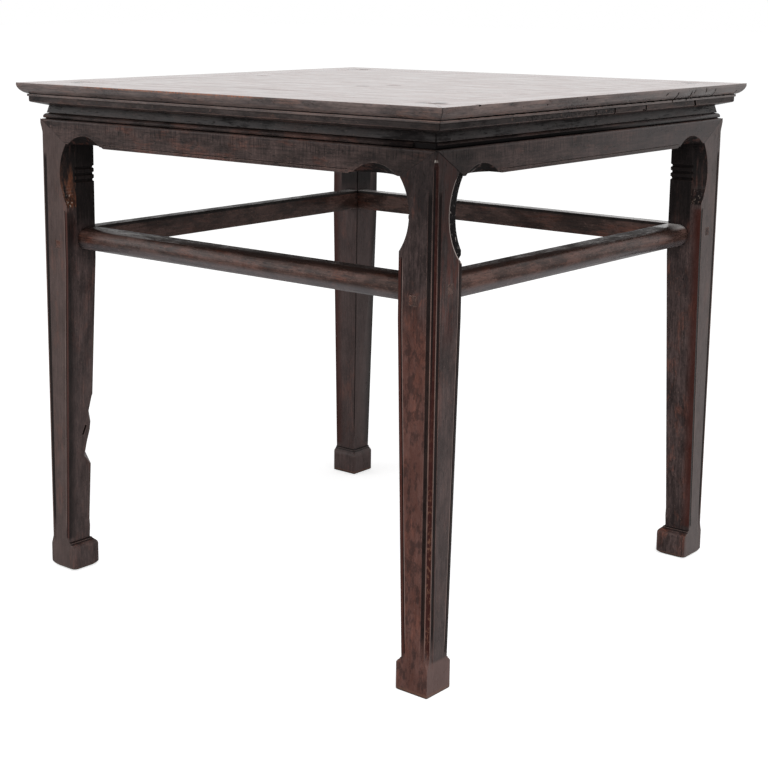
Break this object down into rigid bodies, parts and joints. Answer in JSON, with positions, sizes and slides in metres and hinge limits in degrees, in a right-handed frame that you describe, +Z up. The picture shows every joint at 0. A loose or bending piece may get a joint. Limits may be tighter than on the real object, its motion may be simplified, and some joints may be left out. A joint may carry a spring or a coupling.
{
  "type": "eight immortals table",
  "caption": "Square waisted hardwood table with a mitred frame-and-panel top, shaped aprons, high round-nosed stretchers and tapered legs on inward hoof feet.",
  "frame": {"origin": "on the floor under the middle of the top", "axes": "+Z up, +X towards the right side, -Y towards the front; the top frame's tenoned members lie along the front and back"},
  "size_m": [0.9, 0.9, 0.865],
  "materials": {
    "frame_lacquer": "old dark brown lacquer, worn reddish at the edges",
    "panel_lacquer": "old dark brown lacquer, worn reddish at the edges",
    "strip_lacquer": "old dark brown lacquer, worn reddish at the edges",
    "waist_lacquer": "old dark brown lacquer, worn reddish at the edges",
    "bead_lacquer": "old dark brown lacquer, worn reddish at the edges",
    "apron_lacquer": "old dark brown lacquer, worn reddish at the edges",
    "leg_lacquer": "old dark brown lacquer, worn reddish at the edges",
    "stretcher_lacquer": "old dark brown lacquer, worn reddish at the edges",
    "batten_wood": "bare dark wood, hand-planed",
    "nail_bamboo": "dark bamboo, cut flush"
  },
  "bodies": {
    "root": {"frame_front": "frame_lacquer", "frame_right": "frame_lacquer", "frame_back": "frame_lacquer", "frame_left": "frame_lacquer", "top_board_front": "panel_lacquer", "top_board_middle": "panel_lacquer", "top_board_back": "panel_lacquer", "strip_front": "strip_lacquer", "strip_right": "strip_lacquer", "strip_back": "strip_lacquer", "strip_left": "strip_lacquer", "waist_front": "waist_lacquer", "waist_right": "waist_lacquer", "waist_back": "waist_lacquer", "waist_left": "waist_lacquer", "bead_front": "bead_lacquer", "bead_right": "bead_lacquer", "bead_back": "bead_lacquer", "bead_left": "bead_lacquer", "apron_front": "apron_lacquer", "apron_right": "apron_lacquer", "apron_back": "apron_lacquer", "apron_left": "apron_lacquer", "leg_front_left": "leg_lacquer", "leg_front_right": "leg_lacquer", "leg_back_left": "leg_lacquer", "leg_back_right": "leg_lacquer", "stretcher_front": "stretcher_lacquer", "stretcher_right": "stretcher_lacquer", "stretcher_back": "stretcher_lacquer", "stretcher_left": "stretcher_lacquer", "batten_left": "batten_wood", "batten_right": "batten_wood", "strip_nails": "nail_bamboo"}
  },
  "joints": []
}
